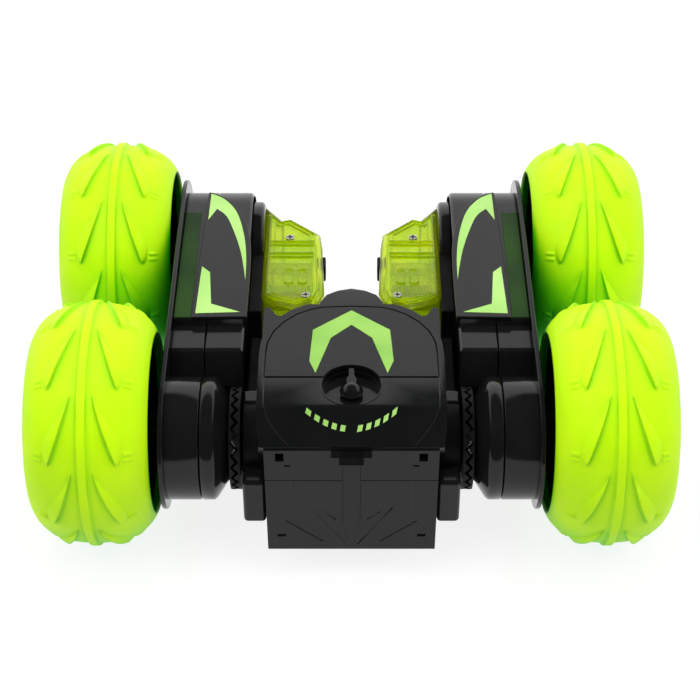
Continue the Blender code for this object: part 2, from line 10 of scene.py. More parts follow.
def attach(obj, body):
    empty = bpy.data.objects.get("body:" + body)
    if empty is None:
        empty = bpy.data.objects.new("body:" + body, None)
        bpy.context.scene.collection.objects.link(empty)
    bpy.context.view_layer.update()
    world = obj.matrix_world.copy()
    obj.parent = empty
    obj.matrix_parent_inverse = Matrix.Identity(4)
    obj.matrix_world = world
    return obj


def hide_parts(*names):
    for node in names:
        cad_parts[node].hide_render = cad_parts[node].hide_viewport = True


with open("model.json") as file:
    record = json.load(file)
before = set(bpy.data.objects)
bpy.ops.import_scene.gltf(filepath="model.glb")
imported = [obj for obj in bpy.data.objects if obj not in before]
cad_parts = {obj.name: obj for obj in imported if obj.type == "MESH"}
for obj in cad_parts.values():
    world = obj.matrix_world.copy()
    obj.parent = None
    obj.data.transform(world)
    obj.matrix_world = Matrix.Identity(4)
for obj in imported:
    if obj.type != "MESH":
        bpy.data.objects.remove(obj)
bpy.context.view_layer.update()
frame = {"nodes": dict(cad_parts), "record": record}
MM = 0.001

# sizes are in millimetres: +X to the right-hand wheels, -Y towards the nose, +Z up from the ground
AXLE_Y, AXLE_Z = 45.625, 40.0  # wheel axles: distance from the middle, and mid height of the car
PIVOT_Y = -53.0  # cross shaft that the arms swing on
PIVOT = (PIVOT_Y, AXLE_Z)
WHEEL_X = 82.0
SIDES = (("left", -1), ("right", 1))
ENDS = (("front", -1), ("rear", 1))
FACES = (("top", 1), ("under", -1))


# ------------------------------------------------------------------ mesh helpers
def finish(builder, name, tidy=True):
    """Turn a bmesh into an object in the scene."""
    if tidy:
        bmesh.ops.recalc_face_normals(builder, faces=builder.faces)
    mesh = bpy.data.meshes.new(name)
    builder.to_mesh(mesh)
    builder.free()
    item = bpy.data.objects.new(name, mesh)
    bpy.context.scene.collection.objects.link(item)
    return item


def point_at(point, height, axis):
    """Place a (y, z) outline point along X, or an (x, y) one along Z."""
    if axis == "X":
        return Vector((height, point[0], point[1])) * MM
    return Vector((point[0], point[1], height)) * MM


def loft(name, sections, axis="X"):
    """Join outlines with the same number of points into one closed solid."""
    builder = bmesh.new()
    rings = [[builder.verts.new(point_at(p, height, axis)) for p in outline] for height, outline in sections]
    builder.faces.new(rings[0])
    builder.faces.new(list(reversed(rings[-1])))
    count = len(rings[0])
    for first, second in zip(rings, rings[1:]):
        for i in range(count):
            j = (i + 1) % count
            builder.faces.new((first[i], second[i], second[j], first[j]))
    return finish(builder, name)


def prism(name, outline, low, high, axis="X"):
    return loft(name, [(low, outline), (high, outline)], axis)


def box(name, low, high):
    outline = [(low[0], low[1]), (high[0], low[1]), (high[0], high[1]), (low[0], high[1])]
    return prism(name, outline, low[2], high[2], "Z")


def circle(centre, radius, segments, start=0.0, sweep=360.0):
    steps = segments if sweep >= 360.0 else segments + 1
    turn = [math.radians(start + sweep * i / segments) for i in range(steps)]
    return [(centre[0] + radius * math.cos(a), centre[1] + radius * math.sin(a)) for a in turn]


def rod(name, centre, radius, low, high, axis="X", segments=48):
    return prism(name, circle(centre, radius, segments), low, high, axis)


def lathe(name, profile, centre, side, segments=96):
    """Spin (distance from the middle, radius) points about a line along X."""
    builder = bmesh.new()
    rings = []
    for across, radius in profile:
        if radius < 1e-6:
            rings.append([builder.verts.new(point_at(centre, side * across, "X"))])
        else:
            rings.append([builder.verts.new(point_at(p, side * across, "X"))
                          for p in circle(centre, radius, segments)])
    for first, second in zip(rings, rings[1:] + rings[:1]):
        for i in range(segments):
            j = (i + 1) % segments
            corners = [first[i % len(first)], first[j % len(first)],
                       second[j % len(second)], second[i % len(second)]]
            unique = list(dict.fromkeys(corners))
            if len(unique) > 2:
                builder.faces.new(unique)
    return finish(builder, name)


def lathe_z(name, profile, centre, segments):
    """Spin (height, radius) points about a vertical line."""
    item = lathe(name, profile, (0.0, 0.0), 1, segments)
    turn = Matrix(((0, 0, -1, 0), (0, 1, 0, 0), (1, 0, 0, 0), (0, 0, 0, 1)))
    item.data.transform(turn)
    item.data.transform(Matrix.Translation(Vector((centre[0], centre[1], 0.0)) * MM))
    return item


def bake(item):
    """Apply an object's modifiers to its mesh."""
    graph = bpy.context.evaluated_depsgraph_get()
    graph.update()
    mesh = bpy.data.meshes.new_from_object(item.evaluated_get(graph))
    item.modifiers.clear()
    old = item.data
    item.data = mesh
    bpy.data.meshes.remove(old)
    return item


def drop(item):
    """Remove an object together with its mesh."""
    mesh = item.data
    bpy.data.objects.remove(item, do_unlink=True)
    bpy.data.meshes.remove(mesh)


def combine(target, tool, operation):
    change = target.modifiers.new("shape", "BOOLEAN")
    change.operation = operation
    change.solver = "EXACT"
    change.object = tool
    bake(target)
    drop(tool)
    return target


def add(target, tool):
    return combine(target, tool, "UNION")


def cut(target, tool):
    return combine(target, tool, "DIFFERENCE")


def keep(target, tool):
    return combine(target, tool, "INTERSECT")


def merge(name, items):
    """Put several meshes into one object without joining their surfaces."""
    builder = bmesh.new()
    for item in items:
        builder.from_mesh(item.data)
        drop(item)
    return finish(builder, name, tidy=False)


def soften(item, width, segments=3, angle=30.0):
    """Round the edges and shade smooth."""
    change = item.modifiers.new("edges", "BEVEL")
    change.width = width * MM
    change.segments = segments
    change.limit_method = "ANGLE"
    change.angle_limit = math.radians(angle)
    change.use_clamp_overlap = True
    change.miter_outer = "MITER_ARC"
    change.harden_normals = True
    smooth(item, 180.0)
    return item


def smooth(item, angle=32.0):
    for face in item.data.polygons:
        face.use_smooth = True
    if angle < 180.0:
        item.data.set_sharp_from_angle(angle=math.radians(angle))
    return item


def curve(points, steps=6):
    """A smooth open curve through the points, with the given number of steps between two of them."""
    ends = [points[0]] + list(points) + [points[-1]]
    made = []
    for i in range(1, len(ends) - 2):
        a, b, c, d = (Vector(p) for p in ends[i - 1:i + 3])
        for k in range(steps):
            t = k / steps
            made.append(tuple(0.5 * (2 * b + (c - a) * t + (2 * a - 5 * b + 4 * c - d) * t * t
                                     + (3 * b - a - 3 * c + d) * t ** 3)))
    return made + [tuple(points[-1])]


def mirrored(outline, side):
    """An outline drawn for the right-hand side, mirrored when the side is the left."""
    if side > 0:
        return list(outline)
    return [(-x, y) for x, y in reversed(outline)]


def tube(name, points, radius, sides=8):
    """A round bar that follows a line of points given in millimetres."""
    builder = bmesh.new()
    path = [Vector(p) for p in points]
    rings = []
    for i, point in enumerate(path):
        ahead = path[min(i + 1, len(path) - 1)] - path[max(i - 1, 0)]
        forward = ahead.normalized()
        guide = Vector((0, 0, 1)) if abs(forward.z) < 0.9 else Vector((1, 0, 0))
        across = forward.cross(guide).normalized()
        up = across.cross(forward)
        ring = []
        for k in range(sides):
            turn = 2 * math.pi * k / sides
            ring.append(builder.verts.new((point + across * radius * math.cos(turn)
                                           + up * radius * math.sin(turn)) * MM))
        rings.append(ring)
    builder.faces.new(rings[0])
    builder.faces.new(list(reversed(rings[-1])))
    for first, second in zip(rings, rings[1:]):
        for k in range(sides):
            m = (k + 1) % sides
            builder.faces.new((first[k], first[m], second[m], second[k]))
    return smooth(finish(builder, name))


def settle(item, body, look, replaces=()):
    """Give a piece its material, its body and the CAD nodes it stands for."""
    item.data.materials.clear()
    item.data.materials.append(look)
    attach(item, body)
    if replaces:
        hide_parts(*replaces)
    return item


# ------------------------------------------------------------------ materials
def new_look(name):
    look = bpy.data.materials.new(name)
    look.use_nodes = True
    tree = look.node_tree
    return look, tree, tree.nodes["Principled BSDF"]


def node(tree, kind, **settings):
    made = tree.nodes.new(kind)
    for key, value in settings.items():
        setattr(made, key, value)
    return made


def noise(tree, scale, detail=3.0):
    place = node(tree, "ShaderNodeTexCoord")
    made = node(tree, "ShaderNodeTexNoise")
    made.inputs["Scale"].default_value = scale
    made.inputs["Detail"].default_value = detail
    tree.links.new(place.outputs["Object"], made.inputs["Vector"])
    return made.outputs["Fac"]


def spread(tree, source, low, high):
    """Map a 0.3 to 0.7 noise value onto a range."""
    made = node(tree, "ShaderNodeMapRange")
    made.inputs["From Min"].default_value = 0.3
    made.inputs["From Max"].default_value = 0.7
    made.inputs["To Min"].default_value = low
    made.inputs["To Max"].default_value = high
    tree.links.new(source, made.inputs["Value"])
    return made.outputs["Result"]


def two_tone(tree, source, first, second):
    made = node(tree, "ShaderNodeMix", data_type="RGBA")
    made.inputs["A"].default_value = (*first, 1)
    made.inputs["B"].default_value = (*second, 1)
    tree.links.new(spread(tree, source, 0.0, 1.0), made.inputs["Factor"])
    return made.outputs["Result"]


def bump(tree, shader, source, strength, distance):
    made = node(tree, "ShaderNodeBump")
    made.inputs["Strength"].default_value = strength
    made.inputs["Distance"].default_value = distance
    tree.links.new(source, made.inputs["Height"])
    tree.links.new(made.outputs["Normal"], shader.inputs["Normal"])


def plain_look(name, first, second, rough, metallic=0.0, ior=1.47, scale=90.0, grain=900.0,
               strength=0.08, depth=0.00003):
    """A material that wanders between two colours and two roughnesses, with a fine grain."""
    look, tree, shader = new_look(name)
    tree.links.new(two_tone(tree, noise(tree, scale), first, second), shader.inputs["Base Color"])
    tree.links.new(spread(tree, noise(tree, scale * 4), rough[0], rough[1]), shader.inputs["Roughness"])
    shader.inputs["Metallic"].default_value = metallic
    shader.inputs["IOR"].default_value = ior
    bump(tree, shader, noise(tree, grain, 2.0), strength, depth)
    look.diffuse_color = (*first, 1)
    return look


BLACK = plain_look("gloss_black", (0.0048, 0.0054, 0.0052), (0.0072, 0.0078, 0.0074), (0.10, 0.17),
                   ior=1.365, strength=0.05, depth=0.00002)
# black plastic with a painted green reflection of the neighbouring tyres in its colour
BLACK_WITH_PAINTED_REFLECTION = plain_look("black_with_painted_green_reflection", (0.004, 0.022, 0.001), (0.014, 0.055, 0.003), (0.24, 0.34),
                  ior=1.22, scale=35.0, strength=0.05, depth=0.00002)
DARK = plain_look("satin_black", (0.003, 0.003, 0.003), (0.006, 0.006, 0.006), (0.50, 0.62),
                  ior=1.25, grain=2200.0, strength=0.25, depth=0.00004)
# flat black with no reflection, for the sheets that paint shade on the arms' inner walls
PAINTED_SHADE_BLACK = plain_look("painted_shade_dull_black", (0.003, 0.003, 0.003), (0.005, 0.005, 0.005), (0.80, 0.90))
PAINTED_SHADE_BLACK.node_tree.nodes["Principled BSDF"].inputs["Specular IOR Level"].default_value = 0.0
STEEL = plain_look("bright_steel", (0.52, 0.52, 0.50), (0.64, 0.64, 0.62), (0.22, 0.36), metallic=1.0)
BRASS = plain_look("brass", (0.70, 0.49, 0.18), (0.80, 0.60, 0.27), (0.25, 0.38), metallic=1.0)
NYLON = plain_look("white_nylon", (0.76, 0.76, 0.70), (0.84, 0.84, 0.79), (0.40, 0.52))
BOARD = plain_look("circuit_board", (0.010, 0.16, 0.04), (0.03, 0.24, 0.08), (0.30, 0.45), scale=400.0)
WRAP = plain_look("battery_wrap", (0.04, 0.19, 0.46), (0.06, 0.25, 0.56), (0.18, 0.30))
ACCENT = plain_look("neon_accent", (0.36, 0.80, 0.04), (0.46, 0.90, 0.08), (0.25, 0.38))
DECAL = plain_look("decal_green", (0.29, 0.56, 0.11), (0.40, 0.68, 0.18), (0.30, 0.42), scale=45.0)
DEEP_DECAL = plain_look("decal_deep_green", (0.20, 0.44, 0.06), (0.32, 0.58, 0.10), (0.30, 0.42), scale=45.0)


def painted_shade(tree, reach, low, high, deep, source):
    """Paint shade: blend towards a deeper colour where surfaces within reach, in metres, close in on each
    other.
    """
    near = node(tree, "ShaderNodeAmbientOcclusion", samples=6)
    near.inputs["Distance"].default_value = reach
    fade = node(tree, "ShaderNodeMapRange")
    fade.inputs["From Min"].default_value = low
    fade.inputs["From Max"].default_value = high
    tree.links.new(near.outputs["AO"], fade.inputs["Value"])
    blend = node(tree, "ShaderNodeMix", data_type="RGBA")
    blend.inputs["A"].default_value = (*deep, 1)
    tree.links.new(fade.outputs["Result"], blend.inputs["Factor"])
    tree.links.new(source, blend.inputs["B"])
    return blend.outputs["Result"]


def tyre_look():
    """Neon rubber, with painted shade: a deeper green in creases and where it faces the arm."""
    look, tree, shader = new_look("neon_rubber")
    colour = two_tone(tree, noise(tree, 55.0, 4.0), (0.49, 0.87, 0.001), (0.58, 0.93, 0.002))
    # painted shade: deeper green in the tread's creases, then a deep green where other parts close in within
    # 50 mm
    colour = painted_shade(tree, 0.0045, 0.50, 0.97, (0.10, 0.54, 0.0), colour)
    colour = painted_shade(tree, 0.050, 0.06, 0.66, (0.001, 0.52, 0.002), colour)
    tree.links.new(colour, shader.inputs["Base Color"])
    tree.links.new(spread(tree, noise(tree, 260.0), 0.46, 0.60), shader.inputs["Roughness"])
    shader.inputs["IOR"].default_value = 1.28
    bump(tree, shader, noise(tree, 2600.0, 3.0), 0.22, 0.00006)
    look.diffuse_color = (0.45, 0.93, 0.01, 1)
    return look


def lens_look():
    """Tinted clear plastic for the motor covers, with a faint painted glow."""
    look, tree, shader = new_look("neon_clear_plastic")
    colour = two_tone(tree, noise(tree, 70.0), (0.55, 0.75, 0.0), (0.80, 0.88, 0.0))
    tree.links.new(colour, shader.inputs["Base Color"])
    tree.links.new(spread(tree, noise(tree, 300.0), 0.08, 0.20), shader.inputs["Roughness"])
    shader.inputs["Transmission Weight"].default_value = 0.90
    shader.inputs["IOR"].default_value = 1.36
    # painted glow: a faint green emission, though the cover is no lamp
    shader.inputs["Emission Color"].default_value = (0.45, 0.60, 0.0, 1)
    shader.inputs["Emission Strength"].default_value = 0.04
    bump(tree, shader, noise(tree, 500.0, 2.0), 0.10, 0.00005)
    look.diffuse_color = (0.55, 0.85, 0.02, 1)
    return look


RUBBER = tyre_look()
LENS = lens_look()


# ------------------------------------------------------------------ wheels
TYRE_HALF = 21.3  # half width
TYRE_BASE = 38.75  # radius between the lugs
CROWN_POWER, SHOULDER_POWER = 2.28, 5.65  # roundness of the tyre's section
BEAD_REACH = 19.3  # how far the outer skin runs each way across the tyre
BEAD_RADIUS = 29.1
TYRE_WALL = 2.2
LUGS = 10
LUG_SWEEP = math.radians(35.5)
LUG_HEIGHT = 1.5
RIB_HEIGHT = 0.9
RIDGE_HEIGHT = 0.42
TREAD_PHASE = {-1: math.radians(20.4), 1: math.radians(-6.0)}  # front and rear wheels
BLADES = 5


def tyre_radius(across):
    ratio = np.clip(np.abs(across) / TYRE_HALF, 0.0, 1.0)
    return TYRE_BASE * (1.0 - ratio ** CROWN_POWER) ** (1 / SHOULDER_POWER)


def smoothstep(value, low, high):
    t = np.clip((value - low) / (high - low), 0.0, 1.0)
    return t * t * (3 - 2 * t)


def tread(angle, across):
    """Height of the tread: a middle rib, leaf-shaped lugs and short ridges at their tails."""
    side = np.abs(across)
    rib = RIB_HEIGHT * (1.0 - smoothstep(side, 1.15, 1.75))
    pitch = 2 * math.pi / LUGS
    best = np.zeros_like(angle)
    turn = np.mod(angle, pitch)
    for shift in (0.0, pitch):
        along = (turn + shift) / LUG_SWEEP
        inside = (along > 0.0) & (along < 1.0)
        t = np.clip(along, 0.0, 1.0)
        inner = 2.9 + 7.6 * t ** 1.2
        width = 3.9 * np.sin(math.pi * t ** 1.7) ** 0.9 + 0.2
        past = side - inner
        lug = smoothstep(past, -0.05, 0.35) * np.clip(1.0 - past / width, 0.0, 1.0) ** 0.6
        lug *= smoothstep(t, 0.0, 0.10) * (1.0 - smoothstep(t, 0.94, 1.0)) * (0.72 + 0.28 * t)
        best = np.maximum(best, np.where(inside & (past < width), LUG_HEIGHT * lug, 0.0))
        for offset in (0.84, 0.92):
            arc = np.abs(along - offset) * LUG_SWEEP * 38.0
            ridge = RIDGE_HEIGHT * (1 - smoothstep(arc, 0.25, 0.65))
            ridge *= smoothstep(side, 12.3, 12.9) * (1 - smoothstep(side, 14.4, 16.0))
            best = np.maximum(best, ridge)
    return rib + best


def tyre_mesh(phase):
    """The tyre's outer skin with its tread, closed by a smooth inner skin."""
    turns = 540
    middle = np.linspace(-13.2, 13.2, 107)
    flank = np.concatenate([np.arange(13.6, 17.6, 0.4), np.linspace(17.8, BEAD_REACH, 8)])
    outside = np.concatenate([-flank[::-1], middle, flank])
    inside = np.linspace(BEAD_REACH - 1.2, -(BEAD_REACH - 1.2), 15)
    angle = np.linspace(0, 2 * math.pi, turns, endpoint=False)
    grid_a, grid_s = np.meshgrid(angle, outside, indexing="ij")
    radius = tyre_radius(grid_s) + tread(grid_a + phase, grid_s)
    grid_b, grid_t = np.meshgrid(angle, inside, indexing="ij")
    below = np.maximum(tyre_radius(grid_t * 1.06) - TYRE_WALL, BEAD_RADIUS)
    all_a = np.concatenate([grid_a, grid_b], axis=1)
    all_s = np.concatenate([grid_s, grid_t], axis=1)
    all_r = np.concatenate([radius, below], axis=1)
    points = np.stack([all_s, all_r * np.cos(all_a), all_r * np.sin(all_a)], axis=-1) * MM
    count = all_s.shape[1]
    i, j = np.meshgrid(np.arange(turns), np.arange(count), indexing="ij")
    ni, nj = (i + 1) % turns, (j + 1) % count
    faces = np.stack([i * count + j, ni * count + j, ni * count + nj, i * count + nj], axis=-1)
    mesh = bpy.data.meshes.new("tyre")
    mesh.from_pydata(points.reshape(-1, 3).tolist(), [], faces.reshape(-1, 4).tolist())
    mesh.materials.append(RUBBER)
    for face in mesh.polygons:
        face.use_smooth = True
    return mesh


def make_wheels():
    """Tyres, and a dish with raised blades on the outer side of each wheel."""
    shared = {way: tyre_mesh(phase) for way, phase in TREAD_PHASE.items()}
    for name, side in SIDES:
        for end, way in ENDS:
            key = end + "_" + name
            body = "wheel_" + key
            centre = (way * AXLE_Y, AXLE_Z)
            tyre = bpy.data.objects.new("soft_tyre_" + key, shared[way])
            bpy.context.scene.collection.objects.link(tyre)
            tyre.location = Vector((side * WHEEL_X, way * AXLE_Y, AXLE_Z)) * MM
            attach(tyre, body)
            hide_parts("tyre_" + key)

            dish = lathe("wheel_dish_" + key,
                         [(97.0, 0), (97.0, 28.3), (99.2, 28.5), (100.2, 27.6), (100.1, 26.6), (98.6, 25.2),
                          (98.3, 12.0), (99.2, 9.0), (101.2, 8.2), (101.9, 7.0), (102.2, 3.4), (101.5, 3.0),
                          (101.5, 0)], centre, side)
            smooth(dish, 50)
            settle(dish, body, BLACK, ["hub_cap_" + key])
            blades = []
            for i in range(BLADES):
                turn = math.radians(90 + 360 // BLADES * i)
                out = Vector((0, math.cos(turn), math.sin(turn)))
                sidewards = Vector((0, -math.sin(turn), math.cos(turn)))
                builder = bmesh.new()
                ring_low, ring_top = [], []
                for along, half in ((8.6, 1.5), (16.0, 2.6), (23.2, 4.4), (25.0, 3.6), (25.0, -3.6),
                                    (23.2, -4.4), (16.0, -2.6), (8.6, -1.5)):
                    for ring, height, narrow in ((ring_low, 98.0, 1.0), (ring_top, 100.4, 0.8)):
                        spot = out * along + sidewards * half * narrow
                        spot += Vector((side * height, way * AXLE_Y, AXLE_Z))
                        ring.append(builder.verts.new(spot * MM))
                builder.faces.new(ring_low)
                builder.faces.new(list(reversed(ring_top)))
                for a in range(8):
                    b = (a + 1) % 8
                    builder.faces.new((ring_low[a], ring_top[a], ring_top[b], ring_low[b]))
                blades.append(finish(builder, "blade"))
            blade = merge("wheel_blades_" + key, blades)
            soften(blade, 0.35, 2)
            settle(blade, body, ACCENT)


# ------------------------------------------------------------------ arms
ARM_HALF, SHELF_HALF = 21.7, 19.0  # half height behind the step, and of the shelf before it
OUTER_SHELL = (47.65, 58.5)
INNER_SHELL = (35.0, 35.9, 47.35)  # with a chamfer between the first two
FLANGE = (58.45, 60.0)
FLANGE_FAR, FLANGE_NEAR = 26.3, 22.7  # radius round the axle and round the pivot
DRUM_RADIUS = 19.7
END_STEPS = 22


def side_view(top, low):
    """Outline of an arm's block behind the pivot drum, seen from the side."""
    upper = [(-37.0, 8.0), (-36.0, 10.2), (-32.0, 18.5), (-31.0, low), (-19.8, low), (-19.0, top),
             (30.0, top), (AXLE_Y, top)]
    round_end = circle((AXLE_Y, 0.0), top, END_STEPS, 90.0 - 180.0 / END_STEPS, -180.0 + 360.0 / END_STEPS)
    lower = [(y, -z) for y, z in reversed(upper)]
    points = upper + round_end + lower
    return [(y, z + AXLE_Z) for y, z in points]


def make_arms():
    """Two shell halves, pivot drum, flange, far boss, and the panels and stickers of each arm."""
    for name, side in SIDES:
        body = "arm_" + name

        full = side_view(ARM_HALF, SHELF_HALF)
        outer = loft("arm_outer_" + name, [(side * x, full) for x in OUTER_SHELL])
        soften(outer, 0.35, 2, 22)
        settle(outer, body, BLACK, ["arm_outer_shell_" + name])
        sections = zip(INNER_SHELL, (side_view(20.9, 18.2), full, full))
        inner = loft("arm_inner_" + name, [(side * x, outline) for x, outline in sections])
        soften(inner, 0.35, 2, 22)
        settle(inner, body, BLACK, ["arm_inner_shell_" + name])

        # painted shade: a thin dull black sheet on the arm's inner wall, kept from reflecting the bright
        # floor beneath the car
        liner = prism("arm_side_painted_shade_sheet_" + name, side_view(20.4, 17.6), side * 34.75, side * 35.05)
        settle(liner, body, PAINTED_SHADE_BLACK)

        profile = [(47.65, 0), (47.65, 19.4), (47.95, DRUM_RADIUS), (58.6, DRUM_RADIUS), (58.6, 0)]
        drum = lathe("arm_drum_outer_" + name, profile, PIVOT, side)
        smooth(drum, 50)
        settle(drum, body, BLACK)
        profile = [(38.4, 0), (38.4, 12.6), (39.6, 14.2), (42.6, 18.9), (43.6, DRUM_RADIUS),
                   (47.05, DRUM_RADIUS), (47.35, 19.4), (47.35, 0)]
        drum = lathe("arm_drum_inner_" + name, profile, PIVOT, side)
        smooth(drum, 50)
        settle(drum, body, BLACK)

        lean = math.degrees(math.asin((FLANGE_FAR - FLANGE_NEAR) / (AXLE_Y - PIVOT_Y)))
        outline = circle((AXLE_Y, AXLE_Z), FLANGE_FAR, 56, -90.0 - lean, 180.0 + 2 * lean)
        outline += circle(PIVOT, FLANGE_NEAR, 48, 90.0 + lean, 180.0 - 2 * lean)
        plate = prism("arm_flange_" + name, outline, side * FLANGE[0], side * FLANGE[1])
        soften(plate, 0.4, 3)
        settle(plate, body, BLACK)

        profile = [(30.9, 0), (30.9, 16.9), (31.4, 18.0), (32.2, 18.4), (35.2, 18.4), (35.2, 0)]
        boss = lathe("arm_far_boss_" + name, profile, (AXLE_Y, AXLE_Z), side)
        smooth(boss, 50)
        settle(boss, body, BLACK)

        # strips beside the tyres on both faces, their green a painted reflection of the tyres
        outline = mirrored([(52.6, -18.6), (58.3, -18.6), (58.3, 40.0), (52.6, 40.0)], side)
        for level, sign in FACES:
            low, high = AXLE_Z + sign * 21.2, AXLE_Z + sign * 21.95
            strip = prism("arm_strip_%s_%s" % (level, name), outline, low, high, "Z")
            soften(strip, 0.2, 2)
            settle(strip, body, BLACK_WITH_PAINTED_REFLECTION)

        # raised panels with their stickers, on the top and mirrored on the underside
        arch = curve([(50.5, 52.0), (46.4, 49.8), (41.7, 45.0), (37.2, 35.7), (35.3, 26.7), (34.4, 16.7),
                      (34.2, 6.5), (34.2, -3.3)]) + [(34.3, -19.0), (52.4, -19.3), (50.9, 51.4)]
        crescent = curve([(49.9, 50.8), (44.9, 47.2), (40.3, 39.4), (37.3, 26.7), (35.9, 13.9), (35.6, 0.7)])
        crescent += curve([(36.3, 6.4), (38.1, 17.5), (41.1, 29.3), (43.9, 37.3), (47.4, 41.5)])
        crescent += [(50.1, 34.9)]
        hook = [(50.6, 8.1), (47.7, 4.9), (46.3, -12.2), (36.6, -16.5), (51.2, -17.2)]
        for level, sign in FACES:
            low, high = AXLE_Z + sign * 19.6, AXLE_Z + sign * 22.4
            panel = prism("arm_panel_%s_%s" % (level, name), mirrored(arch, side), low, high, "Z")
            soften(panel, 0.35, 3)
            settle(panel, body, BLACK)
            for kind, shape in (("crescent", crescent), ("hook", hook)):
                low, high = AXLE_Z + sign * 22.3, AXLE_Z + sign * 22.47
                mark = prism("sticker_%s_%s_%s" % (kind, level, name), mirrored(shape, side), low, high, "Z")
                smooth(mark, 20)
                settle(mark, body, DECAL)


CLUTCH_TEETH = 24
CLUTCH_BORE, CLUTCH_RIM = 12.4, 16.4


def make_clutches():
    """Two rings of face teeth on each side; the driver turns with the shaft and the ring with the arm."""
    for name, side in SIDES:
        for kind, base, valley, peak, phase, body in (("driver", 34.9, 35.3, 37.1, 0, "swing_axle"),
                                                      ("ring", 38.35, 38.1, 36.6, 1, "arm_" + name)):
            builder = bmesh.new()
            steps = CLUTCH_TEETH * 2
            slices = []
            for i in range(steps):
                turn = math.pi * (i + phase) / CLUTCH_TEETH
                height = peak if i % 2 else valley
                corners = ((CLUTCH_BORE, height), (CLUTCH_RIM, height), (CLUTCH_RIM, base),
                           (CLUTCH_BORE, base))
                spots = []
                for radius, across in corners:
                    spots.append(builder.verts.new(Vector((side * across, PIVOT_Y + radius * math.cos(turn),
                                                           AXLE_Z + radius * math.sin(turn))) * MM))
                slices.append(spots)
            for i in range(steps):
                first, second = slices[i], slices[(i + 1) % steps]
                for k in range(4):
                    m = (k + 1) % 4
                    builder.faces.new((first[k], second[k], second[m], first[m]))
            ring = finish(builder, "clutch_%s_ring_%s" % (kind, name))
            smooth(ring, 20)
            node_name = "clutch_driver_" + name if kind == "driver" else "clutch_ring_" + name
            settle(ring, body, DARK, [node_name])
            if kind == "driver":
                profile = [(35.0, 3.05), (35.0, 12.8), (35.8, 12.8), (36.0, 6.0), (36.0, 3.05)]
                hub = lathe("clutch_hub_" + name, profile, PIVOT, side, 64)
                smooth(hub, 40)
                settle(hub, body, DARK)


def rounded(outline, radius, steps=4):
    """Round the corners of an outline."""
    points = []
    count = len(outline)
    for i in range(count):
        before, here, after = (Vector(outline[i - 1]), Vector(outline[i]), Vector(outline[(i + 1) % count]))
        a, b = (before - here), (after - here)
        reach = min(radius, 0.45 * a.length, 0.45 * b.length)
        start, end = here + a.normalized() * reach, here + b.normalized() * reach
        for k in range(steps + 1):
            t = k / steps
            points.append(tuple(start * (1 - t) ** 2 + here * 2 * t * (1 - t) + end * t * t))
    return points


POD_LOW, POD_EDGE, POD_TOP = 24.5, 50.2, 51.7  # bottom, start of the chamfer, and top face
TRIM_LOW, TRIM_TOP = 51.0, 52.3  # raised ribs, loops and screws on the top face
POD = [(31.2, 59.5), (24.6, 50.6), (21.6, 51.6), (11.0, 42.0), (10.2, 34.0), (9.3, 8.6), (11.2, 3.0),
       (18.7, -0.6), (27.3, 2.2), (31.2, 5.4)]


def shrink(outline, distance):
    """Move an outline's edges inwards; the outline runs clockwise or the other way."""
    count = len(outline)
    area = sum(outline[i - 1][0] * outline[i][1] - outline[i][0] * outline[i - 1][1] for i in range(count))
    way = distance if area > 0 else -distance
    lines = []
    for i in range(count):
        a, b = Vector(outline[i]), Vector(outline[(i + 1) % count])
        along = (b - a).normalized()
        lines.append((a + Vector((-along.y, along.x)) * way, along))
    points = []
    for i in range(count):
        p, d = lines[i - 1]
        q, e = lines[i]
        cross = d.x * e.y - d.y * e.x
        if abs(cross) < 1e-4:
            points.append(tuple(q))
            continue
        step = ((q.x - p.x) * e.y - (q.y - p.y) * e.x) / cross
        points.append(tuple(p + d * step))
    return points


